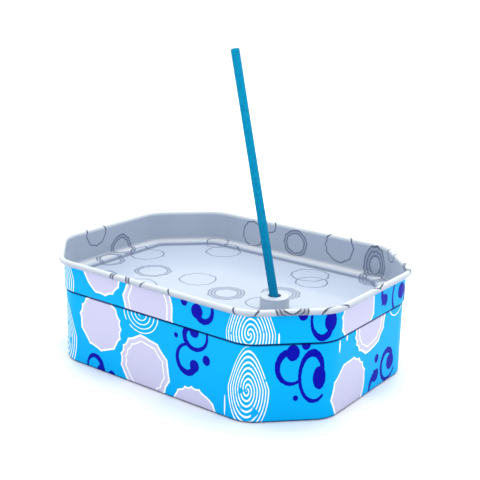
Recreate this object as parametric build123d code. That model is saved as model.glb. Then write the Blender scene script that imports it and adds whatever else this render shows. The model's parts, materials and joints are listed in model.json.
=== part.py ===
from build123d import *
import math
import os

# Octagonal slip-lid tin for incense sticks. Its lid stands upside down on the base as an ash tray,
# and a round holder in the tray carries one leaning stick. The other sticks lie inside the base.
# Millimetres. Origin: centre of the base's footprint, on the surface that it stands on.
# +X runs along the long sides, +Z up, and -Y is the front.

# Base: a wrapped wall of printed sheet with a rolled rim, and a pressed bottom panel
body_length = 140.0
body_width = 103.0
body_height = 31.3
corner_cut = 23.0
corner_radius = 13.0
sheet = 0.28
rim_radius = 0.75
rim_turn = 270.0
foot_radius = 0.9
foot_ring = 2.6
seam_width = 4.2
seam_layers = 3

# Bottom panel
panel_fit = 0.05
panel_flange = 2.2
panel_flat = 1.4
panel_rise = 1.0
panel_bend = 0.5

# Lid, turned over as a tray
lid_clearance = 0.32
lid_rest_gap = 0.1
lid_depth = 14.0
lid_corner = 1.0
bead_diameter = 2.5
bead_turn = 300.0
ledge_width = 6.4
tray_step = 1.6
tray_bend = 0.6

# Slope of both pressed steps: how far in they go for their height
step_slope = 0.6

# Sticks: one leans in the holder, with its heading counted from +X towards +Y
stick_diameter = 3.6
stick_length = 105.0
stick_edge = 0.2
lean_heading = 159.0
spare_count = 12
spare_gap = 0.3
spare_stagger = 1.5

# Stick holder: the socket is wide enough for the stick to lean in it
holder_diameter = 12.0
holder_height = 5.5
holder_edge = 0.3
holder_x = 31.1
holder_y = -10.3
seat_gap = 0.05
socket_play = 1.6
socket_web = 0.8
socket_clearance = 0.1

# Levels that the pieces share
wall_inside = -sheet
panel_underside = sheet + panel_fit
panel_top = panel_underside + panel_rise + sheet
lid_outside = lid_clearance + sheet
lid_underside = body_height + lid_rest_gap
tray_top = lid_underside + lid_depth
tray_floor = lid_underside + sheet - tray_step
holder_seat = tray_floor + seat_gap
socket_diameter = stick_diameter + socket_play
socket_depth = holder_height - socket_web
socket_floor = holder_seat + socket_web


def footprint(grow=0.0):
    """The rounded octagon of the base's outer face, grown outwards by a distance."""
    half_x = body_length / 2
    half_y = body_width / 2
    points = [
        (half_x, corner_cut - half_y),
        (half_x, half_y - corner_cut),
        (half_x - corner_cut, half_y),
        (corner_cut - half_x, half_y),
        (-half_x, half_y - corner_cut),
        (-half_x, corner_cut - half_y),
        (corner_cut - half_x, -half_y),
        (half_x - corner_cut, -half_y),
    ]
    octagon = make_face(Polyline(*points, close=True))
    rounded = fillet(octagon.vertices(), corner_radius)
    if grow:
        rounded = offset(rounded, amount=grow)
    return rounded


def carried_round(centre_line):
    """A sheet whose section follows a line of (distance outwards, height), carried round the footprint."""
    path = footprint().faces()[0].outer_wire()
    start = path @ 0
    along = path % 0
    outwards = Vector(along.Y, -along.X, 0)
    if outwards.dot(start) < 0:
        outwards = -outwards
    upright = Plane(origin=start, x_dir=outwards, z_dir=outwards.cross(Vector(0, 0, 1)))
    outline = offset(Wire(centre_line.edges()), amount=sheet / 2, side=Side.BOTH)
    section = upright * make_face(outline)
    return sweep(section, path=path)


def plate(edge, underside):
    """The flat middle of a pressed panel, out to a distance from the footprint's edge."""
    return Pos(0, 0, underside) * extrude(footprint(edge), amount=sheet)


def end_of_step(outer_edge, rise, bend):
    """How far in a pressed step's centre line reaches, with room for its inner bend."""
    return outer_edge - abs(rise) * step_slope - 2 * bend


def step(start, outer_edge, rise, bend):
    """Centre line of a pressed step: in along a flat, up or down by the rise, and in again."""
    flat = Vector(start)
    points = [
        (flat.X, flat.Y),
        (outer_edge, flat.Y),
        (outer_edge - abs(rise) * step_slope, flat.Y + rise),
        (end_of_step(outer_edge, rise, bend), flat.Y + rise),
    ]
    return FilletPolyline(*points, radius=bend)


def lean_angle():
    """Angle at which a stick leans on the socket's mouth with its foot against the opposite wall.

    The stick's width across the socket and the run of its side up to the mouth fill the socket:
    diameter * cos(angle) + depth * tan(angle) = width. Halving the interval finds the angle.
    """
    width = socket_diameter - 2 * socket_clearance
    depth = socket_depth - socket_clearance
    upright = 0.0
    flat = math.pi / 3
    while flat - upright > 1e-12:
        angle = (upright + flat) / 2
        if stick_diameter * math.cos(angle) + depth * math.tan(angle) < width:
            upright = angle
        else:
            flat = angle
    return upright


def make_body_wall():
    middle = wall_inside / 2
    foot_bend = foot_radius - sheet / 2
    rim_bend = rim_radius - sheet / 2
    foot = Line((-foot_ring, sheet / 2), (middle - foot_bend, sheet / 2))
    corner = JernArc(foot @ 1, (1, 0), foot_bend, 90)
    wall = Line(corner @ 1, (middle, body_height - rim_radius))
    rim = JernArc(wall @ 1, (0, 1), rim_bend, rim_turn)
    shell = carried_round(foot + corner + wall + rim)
    seam_bottom = panel_underside + panel_flange + sheet
    seam_top = body_height - 2 * rim_radius - sheet
    seam_depth = seam_layers * sheet
    seam = Box(seam_width, seam_depth, seam_top - seam_bottom, align=(Align.CENTER, Align.MAX, Align.MIN))
    return shell + Pos(0, body_width / 2 + wall_inside, seam_bottom) * seam


def make_bottom_panel():
    flange = wall_inside - panel_fit - sheet / 2
    bend = foot_radius - sheet - panel_fit - sheet / 2
    level = panel_underside + sheet / 2
    upstand = Line((flange, panel_underside + panel_flange), (flange, level + bend))
    corner = JernArc(upstand @ 1, (0, -1), bend, -90)
    outer_edge = -foot_ring - panel_flat
    inner_edge = end_of_step(outer_edge, panel_rise, panel_bend)
    rise = step(corner @ 1, outer_edge, panel_rise, panel_bend)
    return carried_round(upstand + corner + rise) + plate(inner_edge, panel_top - sheet)


def make_lid_tray():
    middle = lid_outside - sheet / 2
    bead_bend = (bead_diameter - sheet) / 2
    corner_bend = lid_corner - sheet / 2
    level = lid_underside + sheet / 2
    band = Line((middle, tray_top - bead_diameter / 2), (middle, level + corner_bend))
    bead = JernArc(band @ 0, (0, 1), bead_bend, -bead_turn)
    corner = JernArc(band @ 1, (0, -1), corner_bend, -90)
    outer_edge = lid_outside - ledge_width
    inner_edge = end_of_step(outer_edge, tray_step, tray_bend)
    sink = step(corner @ 1, outer_edge, -tray_step, tray_bend)
    return carried_round(bead + band + corner + sink) + plate(inner_edge, tray_floor - sheet)


def make_stick_holder():
    blank = extrude(Circle(holder_diameter / 2), amount=holder_height)
    rounded = fillet(blank.edges(), holder_edge)
    socket = extrude(Circle(socket_diameter / 2), amount=socket_depth)
    return Pos(holder_x, holder_y, holder_seat) * (rounded - Pos(0, 0, socket_web) * socket)


def make_stick():
    """A stick standing on the origin, along +Z."""
    stick = extrude(Circle(stick_diameter / 2), amount=stick_length)
    return chamfer(stick.edges(), stick_edge)


def make_leaning_stick():
    lean = lean_angle()
    radius = stick_diameter / 2
    foot_out = radius * math.cos(lean) + socket_clearance - socket_diameter / 2
    foot_up = radius * math.sin(lean) + socket_clearance
    tilted = Pos(foot_out, 0, foot_up) * Rot(0, math.degrees(lean), 0) * make_stick()
    return Pos(holder_x, holder_y, socket_floor) * Rot(0, 0, lean_heading) * tilted


def make_spare_stick(index):
    """One of the sticks that lie side by side along X on the bottom panel."""
    pitch = stick_diameter + spare_gap
    across = (index - (spare_count - 1) / 2) * pitch
    along = spare_stagger * (-1) ** index - stick_length / 2
    height = panel_top + seat_gap + stick_diameter / 2
    return Pos(along, across, height) * Rot(0, 90, 0) * make_stick()


pieces = {
    "body_wall": make_body_wall(),
    "bottom_panel": make_bottom_panel(),
    "lid_tray": make_lid_tray(),
    "stick_holder": make_stick_holder(),
    "incense_stick": make_leaning_stick(),
}
for index in range(spare_count):
    pieces[f"spare_stick_{index + 1:02d}"] = make_spare_stick(index)

os.makedirs("parts", exist_ok=True)
for name, piece in pieces.items():
    export_step(piece, f"parts/{name}.step")
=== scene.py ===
import json
import math

import bpy
import numpy as np
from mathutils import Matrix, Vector


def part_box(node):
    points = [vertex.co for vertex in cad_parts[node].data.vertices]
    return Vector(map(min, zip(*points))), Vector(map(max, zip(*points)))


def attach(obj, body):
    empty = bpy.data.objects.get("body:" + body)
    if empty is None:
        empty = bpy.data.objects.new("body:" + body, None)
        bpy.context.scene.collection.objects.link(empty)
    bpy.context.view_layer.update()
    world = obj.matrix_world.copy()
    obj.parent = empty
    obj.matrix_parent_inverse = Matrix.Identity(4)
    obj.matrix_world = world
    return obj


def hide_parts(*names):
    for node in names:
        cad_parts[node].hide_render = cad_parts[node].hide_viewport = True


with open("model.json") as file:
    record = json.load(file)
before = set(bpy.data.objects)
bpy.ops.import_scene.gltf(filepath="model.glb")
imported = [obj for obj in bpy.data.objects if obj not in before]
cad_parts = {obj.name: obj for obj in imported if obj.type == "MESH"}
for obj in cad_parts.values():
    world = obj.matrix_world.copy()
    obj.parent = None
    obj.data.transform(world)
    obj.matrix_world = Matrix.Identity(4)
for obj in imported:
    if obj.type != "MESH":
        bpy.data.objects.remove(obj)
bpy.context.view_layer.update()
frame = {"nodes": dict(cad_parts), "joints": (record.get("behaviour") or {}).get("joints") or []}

bl_info = {
    "name": "Octagonal incense tin",
    "version": (1, 0, 0),
    "blender": (4, 5, 0),
    "location": "3D View > Sidebar > Tin",
    "description": "Printed slip-lid tin with its lid as an ash tray, a stick holder and incense sticks",
    "category": "Add Mesh",
}

# Shapes are worked out in millimetres. A mesh is scaled to metres once, when it is made.
MM = 1000.0
QUARTER = math.pi / 2
FULL_TURN = 2 * math.pi
# Bends sharper than this are shaded as edges
SHARP = math.radians(60)
# How far the lock seam's edges lean, and places closer than this count as one
EDGE = 0.02
TINY = 0.01
# A side number below this is on the outer side of a sheet
OUTER = 0.3
# The rings of the tray's floor and ledge end this far inside the base's outline
RING_LIMIT = -0.6
# A direction that no stick lies along, which its sides are worked out from
NOT_ALONG = (0.2, 1.0, 0.1)
# A motif's lines reach this far beyond its outline, and a face without a motif is this far away
REACH = 1.6
AWAY = 900.0
# Levels along the sheet of what a piece doesn't have: one before its start and one past its end
NOWHERE = -999.0
BEYOND = 999.0
# Linear colours of small marks: dull spots on tinplate, pits in the glaze, and the paste's drag lines
DULL_SPOT = (0.36, 0.34, 0.31, 1.0)
GLAZE_PIT = (0.42, 0.44, 0.5, 1.0)
DRAG_LINE = (0.05, 0.46, 0.62, 1.0)
# The studio: the camera's lens in millimetres, its place, the point that it faces and its roll
CAMERA_LENS = 68.53
CAMERA_PLACE = (0.22825, -0.29779, 0.15986)
CAMERA_AIM = (-0.0019, 0.0097, 0.0482)
CAMERA_ROLL = 0.019
# The air's colour and strength
AIR_SHADE = (0.955, 0.975, 1.0, 1.0)
AIR_STRENGTH = 1.1
# Each softbox's name, size, power and place, and the point that they face and their colour
SOFTBOXES = [
    ("top_softbox", 0.9, 6.0, (-0.1, 0.2, 0.95)),
    ("back_softbox", 1.1, 3.6, (-0.42, 0.58, 0.8)),
]
SOFTBOX_AIM = (0, 0, 0.03)
SOFTBOX_SHADE = (1.0, 1.0, 0.99)
# Half the side of the studio's square floor, in metres
FLOOR_REACH = 30.0


def sheet_colour(red, green, blue):
    """Linear colour of a display colour given in steps of 0 to 255.

    Each channel c becomes c / 12.92 up to 0.04045, and ((c + 0.055) / 1.055) ** 2.4 above it.
    """
    channels = np.array([red, green, blue]) / 255
    low = channels / 12.92
    high = ((channels + 0.055) / 1.055) ** 2.4
    return tuple(float(c) for c in np.where(channels <= 0.04045, low, high))


def middle_of(node):
    """Middle of a CAD node's box, in millimetres."""
    low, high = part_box(node)
    return np.array((low + high) / 2) * MM


def size_of(node):
    """Size of a CAD node's box, in metres."""
    low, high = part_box(node)
    return high - low


# Sizes of CAD pieces in metres, and their lowest or highest levels in millimetres
WALL_SIZE = size_of("body_wall")
HOLDER_SIZE = size_of("stick_holder")
HOLDER_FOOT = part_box("stick_holder")[0].z * MM
PANEL_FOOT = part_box("bottom_panel")[0].z * MM
LID_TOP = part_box("lid_tray")[1].z * MM
SPARE_NODES = sorted(name for name in frame["nodes"] if name.startswith("spare_stick"))


def length(name, description, default):
    """A distance that a user may change, in metres."""
    return bpy.props.FloatProperty(
        name=name,
        description=description,
        default=default,
        min=0.0,
        precision=5,
        unit="LENGTH",
        subtype="DISTANCE",
    )


def turn(name, description, degrees):
    """An angle that a user may change."""
    return bpy.props.FloatProperty(
        name=name,
        description=description,
        default=math.radians(degrees),
        unit="ROTATION",
        subtype="ANGLE",
    )


def colour(name, description, red, green, blue):
    """A colour that a user may change, with its default as a display colour."""
    return bpy.props.FloatVectorProperty(
        name=name,
        description=description,
        default=sheet_colour(red, green, blue),
        size=3,
        min=0.0,
        max=1.0,
        subtype="COLOR",
    )


class TinSizes(bpy.types.PropertyGroup):
    """Sizes of the tin's sheet parts."""

    body_length: length("Body length", "Across the ends of the base", WALL_SIZE.x)
    body_width: length("Body width", "Across the sides of the base", WALL_SIZE.y)
    body_height: length("Body height", "From the foot to the rolled rim", WALL_SIZE.z)
    corner_cut: length("Corner cut", "Length of the octagon's cut along each side", 0.023)
    corner_radius: length("Corner radius", "Outer radius of the octagon's eight bends", 0.013)
    sheet: length("Sheet", "Thickness of the tinplate", 0.00028)
    rim_radius: length("Rim radius", "Outer radius of the base's rolled rim", 0.00075)
    rim_turn: turn("Rim turn", "How far the rim curls inwards", 270)
    foot_radius: length("Foot radius", "Outer radius of the bend at the foot", 0.0009)
    foot_ring: length("Foot ring", "How far the foot reaches in under the base", 0.0026)
    seam_width: length("Seam width", "Width of the folded lock seam inside the back", 0.0042)
    seam_depth: length("Seam depth", "Thickness of the folded lock seam", 0.00084)
    panel_fit: length("Panel fit", "Gap between the bottom panel and the wall", 0.00005)
    panel_flange: length("Panel flange", "Height of the bottom panel's turned-up edge", 0.0022)
    panel_flat: length("Panel flat", "Flat ring beyond the foot ring", 0.0014)
    panel_rise: length("Panel rise", "Height of the bottom panel's pressed step", 0.001)
    panel_bend: length("Panel bend", "Bend radius of the bottom panel's step", 0.0005)
    lid_clearance: length("Lid clearance", "Gap all round between the lid and the base", 0.00032)
    lid_rest_gap: length("Lid rest gap", "Gap under the turned-over lid", 0.0001)
    lid_corner: length("Lid corner", "Outer radius of the bend between the lid's face and band", 0.001)
    bead_diameter: length("Bead diameter", "Outer diameter of the lid's curled edge", 0.0025)
    bead_turn: turn("Bead turn", "How far the lid's edge curls outwards", 300)
    ledge_width: length("Ledge width", "Raised border round the tray's sunk floor", 0.0064)
    tray_step: length("Tray step", "Depth of the tray's sunk floor", 0.0016)
    tray_bend: length("Tray bend", "Bend radius of the tray's step", 0.0006)
    step_slope: bpy.props.FloatProperty(
        name="Step slope",
        description="How far a pressed step goes in for its height",
        default=0.6,
        min=0.0,
        subtype="FACTOR",
    )


class StickSizes(bpy.types.PropertyGroup):
    """Sizes of the holder and the sticks."""

    holder_edge: length("Holder edge", "Radius of the holder's outer edges", 0.0003)
    socket_diameter: length("Socket diameter", "Width of the holder's socket", 0.0052)
    socket_depth: length("Socket depth", "Depth of the holder's socket", 0.0047)
    mouth_edge: length("Mouth edge", "Radius of the socket's mouth", 0.00012)
    stick_diameter: length("Stick diameter", "Diameter of each incense stick", 0.0036)
    stick_length: length("Stick length", "Length of each incense stick", 0.105)
    stick_edge: length("Stick edge", "Worn edge at each end of a stick", 0.0002)


class TinColours(bpy.types.PropertyGroup):
    """Colours of the print, the lacquer, the metal, the holder and the sticks."""

    ground: colour("Ground", "Ground colour of the print", 0, 172, 238)
    ink: colour("Ink", "Swirls and dots of the print", 0, 6, 160)
    patch: colour("Patch", "Rosettes of the print", 198, 196, 222)
    # Groove: painted shade where lid and base meet and along the foot; it also colours the dark lock seam
    # line
    groove: colour("Groove", "Dark line where lid and base meet, the foot and the seam", 2, 16, 88)
    white: colour("White", "Outlines and fine lines of the print", 250, 248, 248)
    lacquer: colour("Lacquer", "Inner lacquer", 171, 182, 199)
    # Bead: whiter lacquer on the curled edge, and also the painted highlight on the tray's ledge
    bead: colour("Bead", "Whiter lacquer on the curled edge and the ledge", 214, 219, 221)
    # Outline: ring outlines, and also the painted shade in the tray's crease and under the bead's curl
    outline: colour("Outline", "Fine outlines and dust on the inner lacquer", 108, 120, 144)
    metal: colour("Metal", "Bare tinplate", 196, 198, 200)
    holder: colour("Holder", "Glazed stick holder", 184, 194, 206)
    paste: colour("Paste", "Incense paste", 0, 146, 186)
    paste_dark: colour("Dark paste", "Darker grains of the incense paste", 4, 104, 152)
    floor: colour("Floor", "Studio floor", 251, 252, 255)


def in_millimetres(sizes):
    """A size group's numbers by name: distances in millimetres, angles in radians, the rest as it is."""
    found = {}
    for name, prop in sizes.bl_rna.properties.items():
        if prop.type == "FLOAT":
            factor = MM if prop.unit == "LENGTH" else 1.0
            found[name] = getattr(sizes, name) * factor
    return found


# Surfaces


def follow(start, heading, moves):
    """Points along straight runs and arcs, as rows of (across, up, heading, run).

    Each move is (length, turn, pieces). Along an arc the heading h grows evenly from h0 to h0 + turn, and
    the point is the arc's start + radius * (sin h - sin h0, cos h0 - cos h), where radius = length / turn.
    Along a straight run it is the run's start + length * t * (cos h0, sin h0), with t from 0 to 1.
    """
    rows = [np.array([[start[0], start[1], heading, 0.0]])]
    for distance, bend, pieces in moves:
        x, y, h, run = rows[-1][-1]
        t = np.arange(1, pieces + 1) / pieces
        headings = h + bend * t
        if bend:
            radius = distance / bend
            across = x + radius * (np.sin(headings) - math.sin(h))
            up = y + radius * (math.cos(h) - np.cos(headings))
        else:
            across = x + distance * t * math.cos(h)
            up = y + distance * t * math.sin(h)
        rows.append(np.stack([across, up, headings, run + distance * t], axis=1))
    return np.concatenate(rows)


def arc(radius, bend, pieces):
    """A move for follow: a bend of a radius through an angle, left for a positive one."""
    return (radius * abs(bend), bend, pieces)


def straight(distance, spacing):
    """A move for follow: a straight run in pieces of about one spacing."""
    return (distance, 0.0, max(1, round(distance / spacing)))


def pieces_in(moves):
    """How many pieces some moves have, which is the row where they end."""
    return sum(pieces for _, _, pieces in moves)


def outline_path(size, spacing):
    """The base's rounded octagon, from the middle of the back and anticlockwise seen from above.

    Returns its points, its outward normals and the distance along it. A side between two bends is the
    octagon's side less its two tangents, which are radius * tan(bend / 2), and the normal is the heading
    turned right.
    """
    eighth = math.pi / 4
    radius = size["corner_radius"]
    tangent = radius * math.tan(eighth / 2)
    slant = math.hypot(size["corner_cut"], size["corner_cut"]) - 2 * tangent
    long_side = size["body_length"] - 2 * size["corner_cut"] - 2 * tangent
    short_side = size["body_width"] - 2 * size["corner_cut"] - 2 * tangent
    half_seam = size["seam_width"] / 2
    seam = [(half_seam, 0.0, 2), (EDGE, 0.0, 1)]
    back = straight(long_side / 2 - half_seam - EDGE, spacing)
    bend = arc(radius, eighth, 10)
    cut = [bend, straight(slant, spacing), bend]
    end = cut + [straight(short_side, spacing)] + cut
    moves = seam + [back] + end + [straight(long_side, spacing)] + end + [back] + seam[::-1]
    line = follow((0.0, size["body_width"] / 2), math.pi, moves)
    headings = line[:-1, 2]
    normals = np.stack([np.sin(headings), -np.cos(headings)], axis=1)
    return line[:-1, :2], normals, line[:, 3]


def circle_path(centre, pieces):
    """A circle's path of no radius: every point is the centre, and the normals go round it once."""
    angles = np.arange(pieces) * FULL_TURN / pieces
    normals = np.stack([np.cos(angles), np.sin(angles)], axis=1)
    points = np.zeros((pieces, 2)) + centre
    return points, normals, np.arange(pieces + 1) / pieces


def half_round(row, sheet, way):
    """Three points round the free edge of a sheet, from its one side to its other.

    The way is 1 at the centre line's end and -1 at its start. The point at angle a is the edge's middle
    + way * sheet / 2 * (side * cos a + onward * sin a).
    """
    across, up, heading, run = row
    angles = np.array([0.25, 0.5, 0.75]) * math.pi
    onward = [math.cos(heading), math.sin(heading)]
    side = [math.sin(heading), -math.cos(heading)]
    points = np.outer(np.cos(angles), side) + np.outer(np.sin(angles), onward)
    places = np.array([across, up]) + points * way * sheet / 2
    return np.column_stack([places, np.full(3, run), np.full(3, 0.5), np.ones(3)])


def sheet_section(line, sheet, rings=0):
    """Section of a sheet round its centre line, as rows of (offset, height, run, side, scale).

    The outer side is the centre line moved right by half the sheet, and the inner side is it moved left.
    The outer side comes first, then a half-round edge, and the inner side back. With rings, both sides
    start at the middle of a flat panel: ring k lies at scale k / rings between the middle and the line.
    """
    heading, run = line.T[2:]
    right = np.stack([np.sin(heading), -np.cos(heading)], axis=1) * sheet / 2
    ones = np.ones(len(line))
    outer = np.column_stack([line[:, :2] + right, run, np.zeros(len(line)), ones])
    inner = np.column_stack([line[:, :2] - right, run, ones, ones])[::-1]
    parts = [outer, half_round(line[-1], sheet, 1), inner]
    if rings:
        scales = np.arange(rings) / rings
        outer_panel = np.repeat(outer[:1], rings, axis=0)
        outer_panel[:, 4] = scales
        inner_panel = np.repeat(inner[-1:], rings, axis=0)
        inner_panel[:, 4] = scales[::-1]
        parts = [outer_panel] + parts + [inner_panel]
    else:
        parts.append(half_round(line[0], sheet, -1))
    return np.concatenate(parts)


def carried(section, path, lift=0.0):
    """A section carried round a path: point = (path point + normal * offset) * scale, at its height.

    lift adds to the offset. It may have a value for each row of the section and each point of the path.
    """
    points, normals, _ = path
    offset = section[:, 0:1] + lift
    flat = points[None] + normals[None] * offset[..., None]
    flat = flat * section[:, 4][:, None, None]
    height = np.broadcast_to(section[:, 1:2], flat.shape[:2])
    return np.concatenate([flat, height[..., None]], axis=2)


class Grid:
    """Faces between the rows and columns of a surface that closes round its path.

    Corners run (row, column), (row, column + 1), (row + 1, column + 1), (row + 1, column), so faces
    point to the right of the rows' direction. A pole is a row of one point, where faces are triangles.
    """

    def __init__(self, rows, columns, closed=False, poles=False):
        first = 1 if poles else 0
        last = rows - (0 if closed else 1) - first
        row, column = np.meshgrid(np.arange(first, last), np.arange(columns), indexing="ij")
        row = row.ravel()
        column = column.ravel()
        # Rows and columns of the faces' corners: quads, and then the triangles of both poles
        rings = [(row, row, row + 1, row + 1)]
        turns = [(column, column + 1, column + 1, column)]
        if poles:
            around = np.arange(columns)
            zero = np.zeros(columns, int)
            top = zero + rows - 1
            rings += [(zero, zero + 1, zero + 1), (top - 1, top - 1, top)]
            turns += [(around, around + 1, around)] * 2
        self.rows = np.concatenate([np.stack(ring, axis=1).ravel() for ring in rings]) % rows
        self.columns = np.concatenate([np.stack(turn, axis=1).ravel() for turn in turns])
        self.sizes = np.concatenate([np.full(len(ring[0]), len(ring)) for ring in rings])
        self.starts = np.concatenate([[0], np.cumsum(self.sizes)[:-1]])
        self.shape = (rows, columns)
        self.poles = poles

    def face_means(self, values):
        """Mean over each face of a value given at every corner."""
        return np.add.reduceat(values, self.starts) / self.sizes

    def spread(self, face_values):
        """A value of each face, given to all its corners."""
        return np.repeat(face_values, self.sizes, axis=0)

    def mesh(self, name, points):
        """A mesh in metres from points in millimetres, one for each row and column."""
        count = self.shape[1]
        index = np.arange(self.shape[0] * count).reshape(self.shape)
        places = points.reshape(-1, 3)
        if self.poles:
            index = index - (count - 1)
            index[0] = 0
            index[-1] = index[-2, -1] + 1
            places = np.concatenate([points[0, :1], points[1:-1].reshape(-1, 3), points[-1, :1]])
        mesh = bpy.data.meshes.new(name)
        mesh.vertices.add(len(places))
        mesh.vertices.foreach_set("co", (places / MM).astype(np.float32).ravel())
        mesh.loops.add(len(self.rows))
        corners = index[self.rows, self.columns % count]
        mesh.loops.foreach_set("vertex_index", corners.astype(np.int32))
        mesh.polygons.add(len(self.sizes))
        mesh.polygons.foreach_set("loop_start", self.starts.astype(np.int32))
        mesh.update(calc_edges=True)
        mesh.polygons.foreach_set("use_smooth", np.ones(len(self.sizes), bool))
        mesh.set_sharp_from_angle(angle=SHARP)
        return mesh


def corner_vectors(mesh, name, values):
    """Stores three numbers for each corner of each face."""
    layer = mesh.attributes.new(name, "FLOAT_VECTOR", "CORNER")
    layer.data.foreach_set("vector", np.ascontiguousarray(values, np.float32).ravel())


def corner_map(mesh, name, across, up):
    """A UV map in millimetres."""
    layer = mesh.uv_layers.new(name=name)
    layer.data.foreach_set("uv", np.column_stack([across, up]).astype(np.float32).ravel())


def nearest(grid, across, up, motifs, period, allowed):
    """For each face the motif whose outline is nearest, and its corners' places measured from that motif.

    A motif is (across, up, half width, half height, ...). Its nearness is (the distance from its middle
    with each direction divided by its half size - 1) * the smaller half size. Faces that aren't allowed,
    or lie out of every motif's reach, have none and are put away.
    """
    table = np.array(motifs, float)
    middle_across = grid.face_means(across)
    middle_up = grid.face_means(up)
    dx = middle_across[:, None] - table[None, :, 0]
    if period:
        dx = (dx + period / 2) % period - period / 2
    dy = middle_up[:, None] - table[None, :, 1]
    shape = np.hypot(dx / table[:, 2], dy / table[:, 3]) - 1
    gap = shape * np.minimum(table[:, 2], table[:, 3])
    chosen = np.argmin(gap, axis=1)
    every = np.arange(len(chosen))
    near = grid.spread((gap[every, chosen] < REACH) & allowed)
    x = grid.spread(dx[every, chosen]) + across - grid.spread(middle_across)
    y = grid.spread(dy[every, chosen]) + up - grid.spread(middle_up)
    return np.where(near, x, AWAY), np.where(near, y, AWAY), grid.spread(table[chosen])


def store_round(mesh, name, found):
    """Layer of round motifs: place is (across, up, half width), form is (height / width, and two numbers).

    A motif row is (across, up, half width, half height, and the same two numbers).
    """
    x, y, rows = found
    corner_vectors(mesh, name, np.column_stack([x, y, rows[:, 2]]))
    corner_vectors(mesh, name + "_form", np.column_stack([rows[:, 3] / rows[:, 2], rows[:, 4], rows[:, 5]]))


def evened(found):
    """Places with each direction scaled to the motif's mean half size, that size, and the motif rows."""
    x, y, rows = found
    mean = (rows[:, 2] + rows[:, 3]) / 2
    return x * mean / rows[:, 2], y * mean / rows[:, 3], mean, rows


def store_dots(mesh, name, found):
    """Layer of dots: place is (across, up, mean half size), evened, and form is (white, 0, 0).

    A motif row is (across, up, half width, half height, white).
    """
    x, y, mean, rows = evened(found)
    blank = np.zeros(len(x))
    corner_vectors(mesh, name, np.column_stack([x, y, mean]))
    corner_vectors(mesh, name + "_form", np.column_stack([rows[:, 4], blank, blank]))


def store_turned(mesh, name, found):
    """Layer of turned motifs: place is (along, beside, mean half size), evened and turned to the start.

    A motif row is (across, up, half width, half height, start in degrees, direction, and three numbers of
    its form). Seen from the start, every motif runs anticlockwise.
    """
    x, y, mean, rows = evened(found)
    start = np.radians(rows[:, 4])
    along = x * np.cos(start) + y * np.sin(start)
    beside = (y * np.cos(start) - x * np.sin(start)) * rows[:, 5]
    corner_vectors(mesh, name, np.column_stack([along, beside, mean]))
    corner_vectors(mesh, name + "_form", rows[:, 6:9])


# Layout of the print, in millimetres along the wall from the middle of the back and up from the floor.
# It is drawn for half of the way round, and comes again on the other half.
# Rosette: across, up, half width, half height, 1 for a second line inside, seed of its wobble
WALL_ROSETTES = [
    (146.5, 20.5, 8, 8.5, 1, 2.0),
    (187, 21.5, 12, 12.5, 0, 0.4),
    (211.5, 9, 13.5, 13.5, 1, 1.3),
    (237, -4, 12, 12, 0, 2.6),
    (306, 8, 12.5, 12.5, 0, 4.1),
    (320.5, 30, 12, 12, 1, 5.2),
]
BAND_ROSETTES = [
    (147.5, 39, 9, 10, 0, 3.1),
    (189, 45, 11, 11, 0, 0.9),
    (214, 36, 13.5, 13.5, 1, 2.2),
    (309.5, 38, 12.5, 12.5, 0, 1.7),
]
# Lined oval: across, up, half width, half height, arms of its spiral, spacing of its lines
WALL_OVALS = [
    (164, 12, 9, 17, 2, 1.3),
    (209.6, 31, 9.6, 8.4, 0, 2.0),
    (261.5, 13.4, 8.3, 17.2, 2, 1.06),
    (341, 33.2, 8.4, 8.4, 0, 3.6),
]
BAND_OVALS = [
    (164, 37, 9, 14, 2, 1.3),
    (262, 35.6, 9.4, 17, 2, 1.1),
]
# Swirl: across, up, half width, half height, start, direction, sweep in turns, ball, pull to the middle
WALL_SWIRLS = [
    (144, 6, 6, 6, 150, 1, 0.72, 2.4, 0.5),
    (183.5, 1.2, 4.4, 5.0, 190, -1, 0.58, 2.8, 0.16),
    (234.3, 18.3, 5.8, 6.4, 88, 1, 0.68, 2.4, 0.43),
    (277.7, 22.4, 5.5, 7.0, -48, -1, 0.63, 2.9, 0.24),
    (337, 8.4, 6.2, 7.4, -30, -1, 0.93, 3.3, 0.72),
]
WALL_SWIRLS_OVER = [
    (141.5, 30.5, 3.8, 3.8, 60, -1, 0.6, 1.7, 0.4),
    (237, 29.5, 6.3, 6.3, 24, -1, 0.82, 2.3, 0.86),
    (286.3, 18.7, 5.6, 10.6, -50, -1, 0.91, 3.6, 0.62),
    (327.5, 0.8, 5.4, 6.2, 195, -1, 0.26, 2.9, 0.08),
]
BAND_SWIRLS = [
    (241.4, 40.6, 4.8, 5.2, 60, -1, 0.6, 2.9, 0.4),
    (289.2, 40.4, 4.8, 7.6, 150, 1, 0.55, 3.2, 0.46),
    (343.2, 37, 7, 9, 125, 1, 0.82, 3.1, 0.9),
]
BAND_SWIRLS_OVER = [
    (156, 44, 4, 4, 200, 1, 0.5, 1.8, 0.2),
    (332.2, 41, 5, 5, 160, 1, 0.2, 2.7, 0.1),
]
# Dot: across, up, half width, half height, 1 for white
WALL_DOTS = [
    (151, 30.5, 1.4, 1.6, 0),
    (193, 0, 2, 2, 0),
    (228, 27, 1, 1.1, 0),
    (243, 20.4, 1.8, 2.1, 0),
    (282.9, 30.9, 1.7, 2.2, 0),
    (279.6, 9.6, 1, 1.2, 0),
    (327, 13.3, 1.6, 1.9, 0),
    (252, 5, 0.3, 4.3, 1),
    (297.5, 28, 0.45, 2.5, 1),
    (302.6, 30.2, 0.5, 1.6, 1),
]
BAND_DOTS = [
    (232.5, 42.2, 1.7, 2.1, 0),
    (281.3, 42.6, 1.8, 2.2, 0),
    (272.6, 33.4, 0.3, 2.6, 1),
]
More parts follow.
